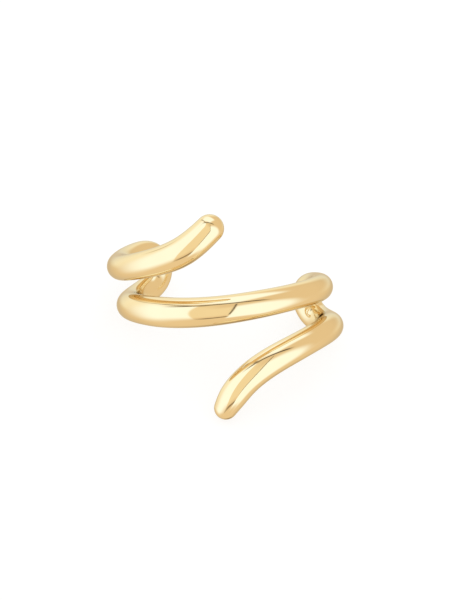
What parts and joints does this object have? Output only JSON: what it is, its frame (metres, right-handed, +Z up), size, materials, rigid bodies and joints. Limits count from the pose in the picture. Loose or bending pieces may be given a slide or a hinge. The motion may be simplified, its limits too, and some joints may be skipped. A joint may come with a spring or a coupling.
{
  "type": "ear cuff",
  "caption": "S-shaped wrap-around ear cuff: one polished gold-coloured round wire with rounded free tips, its open front strands joined by U-turns at the back.",
  "frame": {"origin": "middle of the cuff's footprint, on the surface it rests on", "axes": "+Z up as the cuff rests by itself, on both U-turns and its lower tip; the front strands face -Y and up; +X along the strands, to the right seen from the front. The cuff's own axis, which the rim of an ear follows, leans back and to the left, 39 degrees off +Z"},
  "size_m": [0.0132, 0.011, 0.0099],
  "materials": {
    "polished_gold": "high polish, pale yellow gold plate"
  },
  "bodies": {
    "root": {"cuff_wire": "polished_gold"}
  },
  "joints": []
}
